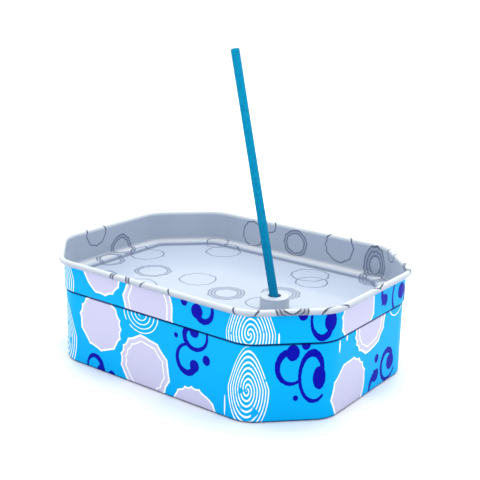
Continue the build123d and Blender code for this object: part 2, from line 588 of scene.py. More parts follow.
# The lid's face, measured from its middle
FACE_ROSETTES = [
    (-46, 22, 13, 13, 1, 0.3),
    (-20, -26, 12.5, 12.5, 0, 2.3),
    (4, 16, 13.5, 13.5, 0, 3.7),
    (30, -18, 12, 12, 1, 1.1),
    (47, 26, 12, 12, 0, 5.0),
    (-52, -20, 10.5, 10.5, 0, 4.4),
]
FACE_OVALS = [
    (-22, 8, 8.5, 15, 2, 1.2),
    (54, -6, 7.5, 13, 2, 1.2),
    (8, -30, 9.5, 9.5, 0, 1.9),
]
FACE_SWIRLS = [
    (-34, -6, 5.6, 6.2, 95, 1, 0.65, 2.3, 0.43),
    (-2, -8, 5.8, 8.5, -52, -1, 0.9, 2.9, 0.66),
    (26, 6, 5.6, 5.6, 20, -1, 0.78, 2.2, 0.6),
    (26, 32, 6, 6, 150, 1, 0.72, 2.4, 0.5),
    (-24, 36, 6, 6, 60, -1, 0.6, 2.4, 0.45),
    (48, -36, 5, 6, 200, 1, 0.7, 2.2, 0.5),
]
FACE_SWIRLS_OVER = [
    (-36, -16, 5.4, 5.4, 24, -1, 0.82, 2.2, 0.8),
    (-8, 1, 5.0, 5.4, -24, -1, 0.68, 2.2, 0.2),
    (-58, 4, 4.6, 5.6, 88, 1, 0.68, 2.0, 0.43),
]
FACE_DOTS = [
    (-37, 3.6, 1.6, 1.6, 0),
    (9, -8, 1.4, 1.8, 0),
    (34, 2, 1.8, 1.8, 0),
    (-12, 33, 1.5, 1.5, 0),
    (-6, -42, 0.45, 3.6, 1),
    (38, 40, 0.45, 3.2, 1),
]
# Fine octagonal ring on the inner lacquer: across, up, half width, half height, lines, seed
WALL_RINGS = [
    (0.5, 37.5, 6.6, 6.6, 2, 0.5),
    (15.5, 43.5, 3.6, 3.6, 1, 1.5),
    (25.5, 37.5, 6.0, 6.6, 1, 2.1),
    (101.5, 31.6, 7.0, 7.4, 2, 0.2),
    (117.5, 43.0, 6.2, 6.2, 1, 3.0),
    (201, 48.5, 5.4, 5.4, 2, 1.1),
    (219.5, 50.0, 8.0, 8.0, 1, 2.7),
    (260.6, 45.2, 4.4, 4.4, 1, 4.3),
    (276.8, 44.5, 6.6, 6.6, 3, 5.9),
    (293, 51.0, 6.0, 6.0, 1, 0.8),
    (322, 40.0, 7.0, 7.0, 1, 3.3),
    (352, 47.5, 5.2, 5.2, 2, 0.6),
    (373, 44.5, 4.4, 4.0, 1, 1.9),
    (385, 35.6, 6.0, 9.0, 3, 2.4),
    (404, 40.5, 7.6, 7.6, 1, 0.1),
]
FLOOR_RINGS = [
    (-39, -6, 8.4, 8.4, 2, 0.7),
    (-16, -2, 8.4, 8.4, 1, 1.9),
    (5, -8.5, 8.2, 8.2, 3, 2.8),
    (-33, 38, 8.6, 8.6, 1, 0.4),
    (19, 35, 8.8, 8.8, 1, 5.1),
    (23, 6, 8.4, 8.4, 3, 3.6),
    (-58, 11, 7.8, 8.6, 1, 4.6),
    (-31, -24, 8.0, 8.0, 1, 0.9),
    (56, -14, 8.0, 8.0, 2, 2.2),
    (4, -40, 8.2, 8.2, 1, 1.2),
    (45, 47, 6.6, 7.4, 3, 3.3),
    (-64, -8, 6.4, 7.0, 2, 5.5),
]
FLOOR_RINGS_OVER = [
    (25, 27, 7.4, 7.4, 1, 2.5),
    (23.5, -8.5, 6.8, 6.8, 1, 1.4),
    (-43, 46, 5.6, 5.6, 1, 4.0),
    (-52, -26, 7.6, 7.6, 2, 0.1),
    (46, -38, 7.4, 7.4, 3, 1.0),
]
# On the base's inner side the wall's rings lie this much further on and this much lower
BASE_RING_SHIFT = 30
BASE_RING_DROP = 19
# Where a sheet's look changes, in millimetres along it: see printed_sheet. Foot and groove place painted
# shade
WALL_LEVELS = {"foot": 0.75, "groove": 31.2, "crease": NOWHERE, "ledge": NOWHERE, "bead": BEYOND}
# Level on the lid's band of the painted shade line where lid and base meet
BAND_GROOVE = 31.3


def twice_round(motifs, half):
    """A layout of half of the way round, and the same layout again on the other half."""
    again = [(motif[0] + half,) + tuple(motif[1:]) for motif in motifs]
    return list(motifs) + again


# The outer print's layers: name, how it is stored, and its motifs on the wall, the band and the lid's face
PRINT_LAYERS = [
    ("rosette", store_round, WALL_ROSETTES, BAND_ROSETTES, FACE_ROSETTES),
    ("oval", store_round, WALL_OVALS, BAND_OVALS, FACE_OVALS),
    ("swirl", store_turned, WALL_SWIRLS, BAND_SWIRLS, FACE_SWIRLS),
    ("swirl_over", store_turned, WALL_SWIRLS_OVER, BAND_SWIRLS_OVER, FACE_SWIRLS_OVER),
    ("dot", store_dots, WALL_DOTS, BAND_DOTS, FACE_DOTS),
]


# Materials


class Signal:
    """A shader socket that Python's arithmetic works on: each operator adds one Math node."""

    def __init__(self, tree, socket=None):
        self.tree = tree
        self.socket = socket

    def node(self, kind, settings=None, sockets=None, output=0):
        """Adds a node of a kind, sets it up, gives its sockets values or links, and returns an output."""
        made = self.tree.nodes.new(kind)
        for name, value in (settings or {}).items():
            setattr(made, name, value)
        for name, value in (sockets or {}).items():
            if isinstance(value, Signal):
                self.tree.links.new(value.socket, made.inputs[name])
            else:
                made.inputs[name].default_value = value
        return Signal(self.tree, made.outputs[output] if made.outputs else None)

    def math(self, operation, *terms):
        """One Math node."""
        return self.node("ShaderNodeMath", {"operation": operation}, dict(enumerate(terms)))

    def __add__(self, other):
        return self.math("ADD", self, other)

    def __radd__(self, other):
        return self.math("ADD", other, self)

    def __sub__(self, other):
        return self.math("SUBTRACT", self, other)

    def __rsub__(self, other):
        return self.math("SUBTRACT", other, self)

    def __mul__(self, other):
        return self.math("MULTIPLY", self, other)

    def __truediv__(self, other):
        return self.math("DIVIDE", self, other)

    def __pow__(self, other):
        return self.math("POWER", self, other)

    def __abs__(self):
        return self.math("ABSOLUTE", self)

    def between(self, low, high):
        """0 at the low level and before it, 1 at the high one and past it, and smooth between them."""
        ends = {"From Min": low, "From Max": high, 0: self}
        return self.node("ShaderNodeMapRange", {"interpolation_type": "SMOOTHSTEP"}, ends)

    def below(self, level, soft=0.05):
        """1 where the value lies below a level and 0 above it, with a soft edge."""
        return self.between(level + soft, level - soft)

    def lesser(self, other):
        return self.math("MINIMUM", self, other)

    def greater(self, other):
        return self.math("MAXIMUM", self, other)

    def sine(self):
        return self.math("SINE", self)

    def cosine(self):
        return self.math("COSINE", self)

    def root(self):
        return self.math("SQRT", self)

    def whole(self):
        return self.math("ROUND", self)

    def fraction(self):
        return self.math("FRACT", self)

    def split(self, vector):
        """The three numbers of a vector."""
        outputs = self.node("ShaderNodeSeparateXYZ", sockets={0: vector}).socket.node.outputs
        return [Signal(self.tree, socket) for socket in outputs]

    def parts(self, name):
        """The three numbers of a corner attribute."""
        return self.split(self.node("ShaderNodeAttribute", {"attribute_name": name}, output=1))

    def wrap(self):
        """The piece's own map, in millimetres round it and along it."""
        return self.node("ShaderNodeUVMap", {"uv_map": "wrap"})

    def blend(self, factor, first, second):
        """A colour between two colours."""
        sockets = {0: factor, 6: first, 7: second}
        return self.node("ShaderNodeMix", {"data_type": "RGBA"}, sockets, output=2)

    def object_place(self):
        """Object coordinates."""
        return self.node("ShaderNodeTexCoord", output=3)

    def grain(self, place, scale, detail=2.0, roughness=0.5, warp=0.0):
        """Noise from 0 to 1 at a number of grains for each metre."""
        sockets = {"Vector": place, "Scale": scale, "Detail": detail, "Roughness": roughness}
        return self.node("ShaderNodeTexNoise", sockets={**sockets, "Distortion": warp})

    def stretched(self, place, scale):
        """A place stretched along each axis by its own factor."""
        return self.node("ShaderNodeMapping", sockets={"Vector": place, "Scale": scale})

    def bump(self, height, distance, strength, normal=None):
        """A normal tilted by a height of 0 to 1 over a distance in metres."""
        sockets = {"Height": height, "Distance": distance, "Strength": strength}
        if normal is not None:
            sockets["Normal"] = normal
        return self.node("ShaderNodeBump", sockets=sockets)

    def surface(self, **sockets):
        """A Principled surface joined to the material's output."""
        names = {name.replace("_", " "): value for name, value in sockets.items()}
        shader = self.node("ShaderNodeBsdfPrincipled", sockets=names)
        self.node("ShaderNodeOutputMaterial", sockets={"Surface": shader})


def new_material(name):
    """An empty node material and the signal that its nodes start from."""
    material = bpy.data.materials.new(name)
    material.use_nodes = True
    material.node_tree.nodes.clear()
    return material, Signal(material.node_tree)


def opaque(shade, share=1.0):
    """A share of a property's colour, with full alpha."""
    return (*(channel * share for channel in shade), 1.0)


def polar(x, y):
    """Distance from a motif's middle, and the turn round it from -0.5 to 0.5."""
    angle = y.math("ARCTAN2", y, x) / FULL_TURN
    return (x * x + y * y).root(), angle


def faceted(distance, angle, seed, facets, depth):
    """Distance over the edge of a wobbly many-sided outline that has radius 1 at its points.

    The turn is shifted by 0.035 * sin(2 turns + seed) + 0.02 * sin(3 turns - 2 seed), k is its place
    along a facet from -0.5 to 0.5, and the edge lies at 1 - depth * (1 - 4 k * k).
    """
    double = (angle * (2 * FULL_TURN) + seed).sine() * 0.035
    triple = (angle * (3 * FULL_TURN) - seed * 2.0).sine() * 0.02
    place = ((angle + double + triple) * facets).fraction() - 0.5
    edge = 1.0 - (1.0 - place * place * 4.0) * depth
    return distance / edge


def rosette_masks(start, waver):
    """Fill and white lines of the rosettes: one line inside the outline, and where lined one more.

    The lines' middles lie 0.34 and 2.9 mm inside the outline, and their half widths are 0.4 and 0.27 mm.
    """
    x, y, size = start.parts("rosette")
    ratio, lined, seed = start.parts("rosette_form")
    distance, angle = polar(x, y / ratio)
    gap = faceted(distance, angle, seed, facets=12.0, depth=0.062) - size + waver
    fill = gap.below(0.0)
    outline = abs(gap + 0.34).below(0.4)
    inside = abs(gap + 2.9).below(0.27) * lined
    return fill, outline.greater(inside)


def oval_mask(start, waver):
    """White lines of the ovals.

    The level of a point is the length of (x * (1 + 0.6 * top), y / ratio), where top grows from 0 in the
    middle to 1 at the upper end of a tall oval, so that it narrows upwards. Lines lie where level / spacing
    plus arms * turn is half way between whole numbers, which winds them into a spiral of that many arms.
    They are 0.4 mm wide, and break off where a noise is low.
    """
    x, y, size = start.parts("oval")
    ratio, arms, spacing = start.parts("oval_form")
    top = (y / (size * ratio)).greater(0.0) * (ratio - 1.0).greater(0.0).lesser(1.0)
    wide = x * (1.0 + top * 0.6)
    tall = y / ratio
    level, angle = polar(wide, tall)
    phase = (level / spacing + angle * arms).fraction() - 0.5
    breaks = start.grain(start.object_place(), 210.0, 1.0).between(0.3, 0.36)
    lines = (abs(phase) * spacing + waver * 0.35).below(0.2, 0.04)
    return lines * level.below(size) * breaks


def swirl_mask(start, name, waver):
    """Blue swirls: a tapering line that winds in from its start and ends in a ball.

    At share t of the sweep the line lies at radius * (1 - pull * t ** 3), and its half width grows from
    0.5 to 1.35 mm. The ball's middle is the line's end.
    """
    x, y, radius = start.parts(name)
    sweep, ball, pull = start.parts(name + "_form")
    distance, angle = polar(x, y)
    share = angle.fraction() / sweep
    line = radius * (1.0 - (share.lesser(1.0) ** 3.0) * pull)
    half = (share * 1.3).lesser(1.0) * 0.85 + 0.5
    stroke = (abs(distance - line) - half + waver).below(0.0) * share.below(1.0, 0.01)
    reach = radius * (1.0 - pull)
    end = sweep * FULL_TURN
    from_ball, _ = polar(x - reach * end.cosine(), y - reach * end.sine())
    return stroke.greater((from_ball - ball + waver).below(0.0))


def dot_masks(start, waver):
    """Blue dots and white strokes."""
    x, y, size = start.parts("dot")
    white, _, _ = start.parts("dot_form")
    distance, _ = polar(x, y)
    dot = (distance - size + waver * 0.5).below(0.0)
    return dot * (1.0 - white), dot * white


def ring_mask(start, name, waver):
    """Fine octagonal outlines: up to three lines, counted inwards from the outer one.

    Each is 0.72 mm wide, and between the lines of one ring lies a paler tint.
    """
    spacing = 1.5
    x, y, size = start.parts(name)
    ratio, lines, seed = start.parts(name + "_form")
    distance, angle = polar(x, y / ratio)
    gap = (faceted(distance, angle, seed, facets=8.0, depth=0.07) - size + waver) / -spacing
    line = gap.whole().greater(0.0).lesser(lines - 1.0)
    tint = gap.between(-0.1, 0.1) * (gap - lines).below(-1.0, 0.1)
    return (abs(gap - line) * spacing).below(0.36, 0.1).greater(tint * 0.4)


def outer_print(start, colours, waver):
    """Colour of the outer print."""
    place = start.object_place()
    shift = start.grain(place, 60.0, 3.0)
    ground = start.blend(shift, opaque(colours.ground), opaque(colours.ground, 0.92))
    fill, fill_lines = rosette_masks(start, waver)
    white = oval_mask(start, waver)
    swirls = swirl_mask(start, "swirl", waver).greater(swirl_mask(start, "swirl_over", waver))
    dots, strokes = dot_masks(start, waver)
    paint = start.blend(fill, ground, opaque(colours.patch))
    paint = start.blend(fill_lines.greater(white).greater(strokes), paint, opaque(colours.white))
    return start.blend(swirls.greater(dots), paint, opaque(colours.ink))


def printed_sheet(name, colours, levels, seam_place, rings):
    """Tinplate printed outside, lacquered inside and bare along its cut edges.

    The side number is 0 outside, 1 inside and between them round an edge. The levels are along the sheet:
    below "foot" painted shade darkens the print and the varnish is worn off in spots, round "groove"
    painted shade makes the dark line where lid and base meet, round "crease" painted shade darkens the
    tray's step, round "ledge" a painted highlight lightens the lacquer, past "bead" it is whiter, and
    further round the curl painted shade darkens its underside. The seam place is round the path. Heights
    for the bump are a slow waviness of the sheet, the orange peel of the varnish and fine scratches.
    """
    material, start = new_material(name)
    place = start.object_place()
    waver = (start.grain(place, 900.0, 2.0) - 0.5) * 0.5
    side, along, _ = start.parts("side")
    inside = side.between(0.72, 0.78)
    outside = 1.0 - inside
    # Round the foot's bend: painted shade on the print, and where the varnish wears off in spots
    foot = along.below(levels["foot"], 0.35)
    # Painted shade: a dark line where lid and base meet, and along the foot
    groove = abs(along - levels["groove"]).below(0.5, 0.25).greater(foot)
    # Painted shade along the foot of the tray's step
    crease_shade = abs(along - levels["crease"]).below(0.8, 0.4)
    # Painted highlight: the lacquer on the tray's ledge is lightened
    ledge_highlight = abs(along - levels["ledge"]).below(2.2, 0.5)
    # Painted shade on the underside of the bead's curl
    under = along.between(levels["bead"] + 2.9, levels["bead"] + 4.5)
    around, _, _ = start.split(start.wrap())
    joint = abs(around - seam_place).below(0.12, 0.06) * outside
    edge = abs(side - 0.5).below(0.26, 0.02)
    printed = outer_print(start, colours, waver)
    lines, *more = [ring_mask(start, ring, waver * 0.7) for ring in rings]
    for mask in more:
        lines = lines.greater(mask)
    cloud = start.grain(place, 35.0, 3.0)
    pale = start.blend(cloud, opaque(colours.lacquer), opaque(colours.lacquer, 0.93))
    whiter = along.between(levels["bead"], levels["bead"] + 0.5)
    # Whiter lacquer on the bead, and the painted highlight on the ledge
    pale = start.blend((whiter * 0.6).greater(ledge_highlight * 0.8), pale, opaque(colours.bead))
    # Painted shade in the tray's crease and under the bead's curl
    pale = start.blend((crease_shade * 0.8).greater(under * 0.5), pale, opaque(colours.outline))
    pale = start.blend(lines, pale, opaque(colours.outline))
    pale = start.blend(lines * whiter * 0.6, pale, opaque(colours.outline, 0.15))
    wear = start.grain(place, 420.0, 4.0, 0.6)
    bare = edge.greater(foot * outside * wear.between(0.64, 0.72))
    paint = start.blend(inside, printed, pale)
    # Painted shade of the groove and the foot on the print, and the dark lock seam line
    paint = start.blend((groove * outside).greater(joint) * 0.85, paint, opaque(colours.groove))
    paint = start.blend(bare, paint, opaque(colours.metal, 0.5))
    smudge = start.grain(place, 90.0, 4.0, 0.6, 0.4)
    scratch = start.grain(start.stretched(place, (40.0, 1600.0, 900.0)), 1.0, 2.0).between(0.62, 0.78)
    rough = 0.3 + smudge * 0.16 + scratch * 0.08 + inside * 0.06
    peel = start.grain(place, 1500.0, 2.0)
    slow = start.grain(place, 28.0, 1.0)
    normal = start.bump(slow - joint * 0.4, 0.0006, 0.35)
    normal = start.bump(peel, 0.00003, 0.5, normal)
    normal = start.bump(scratch, 0.00001, 0.4, normal)
    start.surface(
        Base_Color=paint,
        Metallic=bare * 0.9,
        Roughness=rough,
        Coat_Weight=(1.0 - bare) * (0.005 + inside * 0.6),
        Coat_Roughness=0.16,
        Specular_IOR_Level=0.045,
        Normal=normal,
    )
    return material


def bare_tinplate(colours):
    """Unprinted tinplate: pale crystals of tin, rolling lines along X, and dull spots from handling."""
    material, start = new_material("Bare tinplate")
    place = start.object_place()
    crystals = start.node(
        "ShaderNodeTexVoronoi",
        {"feature": "F1"},
        {"Vector": place, "Scale": 320.0, "Randomness": 1.0},
        output=1,
    )
    shade = start.node("ShaderNodeRGBToBW", sockets={0: crystals})
    rolling = start.grain(start.stretched(place, (30.0, 2200.0, 2200.0)), 1.0, 2.0)
    spots = start.grain(place, 120.0, 5.0, 0.65)
    dull = opaque(colours.metal, 0.72)
    paint = start.blend(shade * 0.35 + rolling * 0.3, opaque(colours.metal), dull)
    paint = start.blend(spots.between(0.62, 0.8) * 0.4, paint, DULL_SPOT)
    normal = start.bump(rolling, 0.00002, 0.5)
    normal = start.bump(start.grain(place, 30.0, 1.0), 0.0006, 0.3, normal)
    start.surface(
        Base_Color=paint,
        Metallic=0.85 + shade * 0.1,
        Roughness=0.26 + spots * 0.2 + shade * 0.06,
        Normal=normal,
    )
    return material


def glazed_holder(colours):
    """White glaze: faint clouding, a slightly uneven skin and small greyer pits."""
    material, start = new_material("Glazed holder")
    place = start.object_place()
    cloud = start.grain(place, 260.0, 3.0)
    pits = start.grain(place, 2600.0, 2.0).between(0.66, 0.74)
    paint = start.blend(cloud, opaque(colours.holder), opaque(colours.holder, 0.92))
    paint = start.blend(pits * 0.35, paint, GLAZE_PIT)
    normal = start.bump(start.grain(place, 700.0, 2.0), 0.00006, 0.5)
    normal = start.bump(1.0 - pits, 0.00003, 0.6, normal)
    start.surface(
        Base_Color=paint,
        Roughness=0.38 + cloud * 0.14 + pits * 0.2,
        Coat_Weight=0.25 - pits * 0.2,
        Coat_Roughness=0.12,
        Normal=normal,
    )
    return material


def incense_paste(colours):
    """Extruded paste: coarse and fine wood grains, drag lines along the stick, and a darker foot.

    The stick's own map runs round it and along it in millimetres, so the drag lines follow the stick.
    """
    material, start = new_material("Incense paste")
    wrap = start.wrap()
    place = start.object_place()
    coarse = start.grain(place, 900.0, 5.0, 0.7)
    fine = start.grain(place, 3800.0, 3.0, 0.6)
    drag = start.grain(start.stretched(wrap, (3.2, 0.12, 1.0)), 1.0, 3.0)
    _, along, _ = start.split(wrap)
    foot = along.below(32.0, 30.0)
    dark = opaque(colours.paste_dark)
    paint = start.blend(coarse.between(0.35, 0.72) * 0.75, opaque(colours.paste), dark)
    paint = start.blend(fine.between(0.62, 0.75) * 0.5, paint, opaque(colours.paste_dark, 0.6))
    paint = start.blend(foot * 0.55, paint, dark)
    paint = start.blend(drag.between(0.55, 0.75) * 0.18, paint, DRAG_LINE)
    normal = start.bump(coarse, 0.00022, 0.7)
    normal = start.bump(drag, 0.00012, 0.4, normal)
    normal = start.bump(fine, 0.00008, 0.5, normal)
    start.surface(
        Base_Color=paint,
        Roughness=0.78 + fine * 0.14,
        Specular_IOR_Level=0.08,
        Normal=normal,
    )
    return material


def studio_floor(colours):
    """Matt studio paper with the faintest cloud of fibres."""
    material, start = new_material("Studio paper")
    place = start.object_place()
    fibres = start.grain(place, 500.0, 3.0)
    shade = opaque(colours.floor, 0.985)
    start.surface(
        Base_Color=start.blend(fibres, opaque(colours.floor), shade),
        Roughness=0.85 + fibres * 0.1,
        Specular_IOR_Level=0.1,
        Normal=start.bump(fibres, 0.00002, 0.3),
    )
    return material


# Pieces


def add_piece(name, mesh, material, body, slot, *nodes):
    """Puts a mesh in the scene as a piece that stands for CAD nodes and moves with a body."""
    piece = bpy.data.objects.new(name, mesh)
    bpy.context.scene.collection.objects.link(piece)
    piece.data.materials.append(material)
    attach(piece, body)
    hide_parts(*nodes)


def corner_fields(grid, section, path):
    """Distance round the path, distance along the sheet and side number, at every corner."""
    around = path[2][grid.columns]
    along = section[grid.rows, 2]
    side = section[grid.rows, 3]
    return around, along, side


def store_side(mesh, along, side):
    """Stores the side number and the distance along the sheet."""
    corner_vectors(mesh, "side", np.column_stack([side, along, np.zeros(len(side))]))


def pressed_step(bend, rise, step_slope):
    """Moves along a short run and up a pressed step, or down it for a negative rise, and a bend's tangent.

    The step climbs at the angle atan(1 / step slope), and each of its two bends takes a tangent of
    bend * tan(angle / 2) off the straight runs beside it.
    """
    angle = math.atan2(1.0, step_slope)
    tangent = bend * math.tan(angle / 2)
    climb = math.copysign(angle, rise)
    moves = [
        straight(2 * bend - tangent, 1.0),
        arc(bend, climb, 5),
        straight(math.hypot(rise, rise * step_slope) - 2 * tangent, 0.6),
        arc(bend, -climb, 5),
    ]
    return moves, tangent


def make_wall(size):
    """The base's wall: foot ring, foot bend, upright wall and inward rolled rim, carried round the octagon.

    The lock seam is where the inner side of the middle of the back moves inwards by the seam's depth.
    """
    sheet = size["sheet"]
    foot_bend = size["foot_radius"] - sheet / 2
    rim_bend = size["rim_radius"] - sheet / 2
    top = size["body_height"] - size["rim_radius"]
    seam_bottom = PANEL_FOOT + size["panel_flange"] + sheet
    seam_top = size["body_height"] - 2 * size["rim_radius"] - sheet
    moves = [
        straight(size["foot_ring"] - sheet / 2 - foot_bend, 0.9),
        arc(foot_bend, QUARTER, 7),
        straight(seam_bottom - size["foot_radius"] - EDGE, 1.0),
        (EDGE, 0.0, 1),
        straight(seam_top - seam_bottom, 1.15),
        (EDGE, 0.0, 1),
        straight(top - seam_top - EDGE, 0.6),
        arc(rim_bend, size["rim_turn"], 20),
    ]
    line = follow((-size["foot_ring"], sheet / 2), 0.0, moves)
    # Along the sheet counts as the height above the floor on the upright wall
    at_wall = np.argmax(line[:, 1] > size["foot_radius"])
    line[:, 3] += line[at_wall, 1] - line[at_wall, 3]
    section = sheet_section(line, sheet)
    path = outline_path(size, 1.2)
    level = (section[:, 1] > seam_bottom - EDGE / 2) & (section[:, 1] < seam_top + EDGE / 2)
    rows = level & (section[:, 3] == 1.0) & (np.abs(section[:, 0] + sheet) < TINY)
    period = path[2][-1]
    around = path[2][:-1]
    columns = np.minimum(around, period - around) < size["seam_width"] / 2 + EDGE / 2
    lift = -size["seam_depth"] * np.outer(rows, columns)
    grid = Grid(len(section), len(around), closed=True)
    mesh = grid.mesh("printed_wall", carried(section, path, lift))
    around, along, side = corner_fields(grid, section, path)
    corner_map(mesh, "wrap", around, along)
    store_side(mesh, along, side)
    outside = grid.face_means(side) < OUTER
    for name, store, motifs, _, _ in PRINT_LAYERS:
        layout = twice_round(motifs, period / 2)
        store(mesh, name, nearest(grid, around, along, layout, period, outside))
    rings = [(motif[0] + BASE_RING_SHIFT, motif[1] - BASE_RING_DROP, *motif[2:]) for motif in WALL_RINGS]
    store_round(mesh, "wall_ring", nearest(grid, around, along, rings, period, ~outside))
    return mesh


def make_panel(size):
    """The pressed bottom panel: a flat middle, a step down to a flat ring, and an upright flange."""
    sheet = size["sheet"]
    bend = size["panel_bend"]
    rise = size["panel_rise"]
    flange = -sheet * 1.5 - size["panel_fit"]
    corner = size["foot_radius"] - sheet * 1.5 - size["panel_fit"]
    outer_edge = -size["foot_ring"] - size["panel_flat"]
    level = PANEL_FOOT + sheet / 2
    inner_edge = outer_edge - rise * size["step_slope"]
    moves, tangent = pressed_step(bend, -rise, size["step_slope"])
    moves += [
        straight(flange - corner - outer_edge - tangent, 1.0),
        arc(corner, QUARTER, 6),
        straight(size["panel_flange"] - sheet / 2 - corner, 0.8),
    ]
    line = follow((inner_edge - 2 * bend, level + rise), 0.0, moves)
    section = sheet_section(line, sheet, rings=14)
    path = outline_path(size, 2.0)
    grid = Grid(len(section), len(path[0]), poles=True)
    mesh = grid.mesh("bottom_panel_sheet", carried(section, path))
    around, along, _ = corner_fields(grid, section, path)
    corner_map(mesh, "wrap", around, along)
    return mesh


def make_lid(size):
    """The turned-over lid: sunk floor, step, ledge, bend, upright band and outward curled bead.

    Its outer side is the printed one, which is under the tray and round the band. Returns the mesh and the
    levels along the sheet where its look changes, as printed_sheet takes them: "crease" is the foot of the
    tray's step, "ledge" is the middle of the ledge, and "bead" lies just before the bend of the bead.
    """
    sheet = size["sheet"]
    bend = size["tray_bend"]
    drop = size["tray_step"]
    outside = size["lid_clearance"] + sheet
    middle = outside - sheet / 2
    corner = size["lid_corner"] - sheet / 2
    bead = (size["bead_diameter"] - sheet) / 2
    ledge_level = size["body_height"] + size["lid_rest_gap"] + sheet / 2
    top = LID_TOP - size["bead_diameter"] / 2
    outer_edge = outside - size["ledge_width"]
    inner_edge = outer_edge - drop * size["step_slope"]
    step, tangent = pressed_step(bend, drop, size["step_slope"])
    moves = step + [
        straight(middle - corner - outer_edge - tangent, 1.1),
        arc(corner, QUARTER, 7),
        straight(top - ledge_level - corner, 1.1),
        arc(bead, -size["bead_turn"], 26),
    ]
    line = follow((inner_edge - 2 * bend, ledge_level - drop), 0.0, moves)
    # Along the sheet counts as the height above the floor on the upright band
    at_band = np.argmax(line[:, 1] > ledge_level + corner + TINY)
    line[:, 3] += line[at_band, 1] - line[at_band, 3]
    levels = {
        "foot": NOWHERE,
        "groove": BAND_GROOVE,
        "crease": line[pieces_in(step[:2]), 3],
        "ledge": line[pieces_in(step), 3] + moves[len(step)][0] / 2,
        "bead": line[pieces_in(moves[:-1]), 3] - 0.5,
    }
    section = sheet_section(line, sheet, rings=44)
    path = outline_path(size, 1.2)
    grid = Grid(len(section), len(path[0]), poles=True)
    points = carried(section, path)
    mesh = grid.mesh("printed_lid", points)
    around, along, side = corner_fields(grid, section, path)
    corner_map(mesh, "wrap", around, along)
    store_side(mesh, along, side)
    period = path[2][-1]
    x, y, _ = points[grid.rows, grid.columns % grid.shape[1]].T
    offsets = grid.face_means(section[grid.rows, 0])
    outer = grid.face_means(side) < OUTER
    on_band = offsets > middle - corner
    pick = grid.spread(on_band)
    for name, store, _, band_motifs, face_motifs in PRINT_LAYERS:
        layout = twice_round(band_motifs, period / 2)
        first = nearest(grid, around, along, layout, period, outer & on_band)
        second = nearest(grid, x, y, face_motifs, 0.0, outer & ~on_band)
        both = [np.where(pick, one, other) for one, other in zip(first[:2], second[:2])]
        both.append(np.where(pick[:, None], first[2], second[2]))
        store(mesh, name, both)
    store_round(mesh, "wall_ring", nearest(grid, around, along, WALL_RINGS, period, ~outer))
    on_floor = ~outer & (offsets < RING_LIMIT)
    for name, motifs in (("floor_ring", FLOOR_RINGS), ("floor_ring_over", FLOOR_RINGS_OVER)):
        store_round(mesh, name, nearest(grid, x, y, motifs, 0.0, on_floor))
    return mesh, levels


def turned_solid(centre, moves, start_height, pieces):
    """A turned solid: a line of (radius, height) from the lower pole to the upper one, carried round.

    Returns its grid, its points, and the turn from 0 to 1 and the distance along the line at every corner.
    """
    line = follow((0.0, start_height), 0.0, moves)
    rows = len(line)
    section = np.column_stack([line[:, :2], line[:, 3], np.zeros(rows), np.ones(rows)])
    path = circle_path(centre, pieces)
    grid = Grid(rows, pieces, poles=True)
    turns, along, _ = corner_fields(grid, section, path)
    return grid, carried(section, path), turns, along


def make_holder(stick):
    """The holder: its foot, side, top, the socket's mouth and wall, and the socket's floor."""
    radius = HOLDER_SIZE.x * MM / 2
    height = HOLDER_SIZE.z * MM
    edge = stick["holder_edge"]
    mouth = stick["mouth_edge"]
    socket = stick["socket_diameter"] / 2
    centre = middle_of("stick_holder")[:2]
    moves = [
        straight(radius - edge, 0.8),
        arc(edge, QUARTER, 6),
        straight(height - 2 * edge, 0.6),
        arc(edge, QUARTER, 6),
        straight(radius - edge - socket - mouth, 0.6),
        arc(mouth, QUARTER, 4),
        straight(stick["socket_depth"] - 2 * mouth, 0.6),
        arc(mouth, -QUARTER, 4),
        straight(socket - mouth, 0.6),
    ]
    grid, points, turns, along = turned_solid(centre, moves, HOLDER_FOOT, 96)
    mesh = grid.mesh("glazed_holder", points)
    corner_map(mesh, "wrap", turns * FULL_TURN * radius, along)
    return mesh


def make_stick(name, stick, middle, axis, pieces, spacing):
    """A stick of paste along an axis: point = middle + side * x + other side * y + axis * z.

    Extruded paste swells and thins, so the radius is less by 0.006 * (1 - cos(0.9 z + 2 sin(0.37 z))) / 2
    of itself. Each end has a worn edge between two bends of hardly any radius.
    """
    radius = stick["stick_diameter"] / 2
    tall = stick["stick_length"]
    edge = stick["stick_edge"]
    bend = arc(0.001, QUARTER / 2, 1)
    end = [straight(radius - edge, 0.8), bend, (math.hypot(edge, edge), 0.0, 1), bend]
    moves = end + [straight(tall - 2 * edge, spacing)] + end[::-1]
    grid, points, turns, along = turned_solid((0.0, 0.0), moves, -tall / 2, pieces)
    height = points[..., 2:3]
    swell = 1.0 - 0.006 * (1.0 - np.cos(height * 0.9 + np.sin(height * 0.37) * 2)) / 2
    axis = np.array(axis) / np.linalg.norm(axis)
    side = np.cross(axis, NOT_ALONG)
    side = side / np.linalg.norm(side)
    other = np.cross(axis, side)
    placed = middle + points[..., 0:1] * swell * side + points[..., 1:2] * swell * other + height * axis
    mesh = grid.mesh(name, placed)
    corner_map(mesh, "wrap", turns * FULL_TURN * radius, along)
    return mesh


# Operators


class TIN_OT_printed_wall(bpy.types.Operator):
    """Makes the base's printed wall with its rolled rim, foot and lock seam"""

    bl_idname = "tin.printed_wall"
    bl_label = "Printed wall"

    def execute(self, context):
        colours = context.scene.tin_colours
        size = in_millimetres(context.scene.tin_sizes)
        seam = size["seam_width"] / 2
        mesh = make_wall(size)
        material = printed_sheet("Printed wall", colours, WALL_LEVELS, seam, ["wall_ring"])
        add_piece("printed_wall", mesh, material, "base", "printed_tinplate", "body_wall")
        return {"FINISHED"}


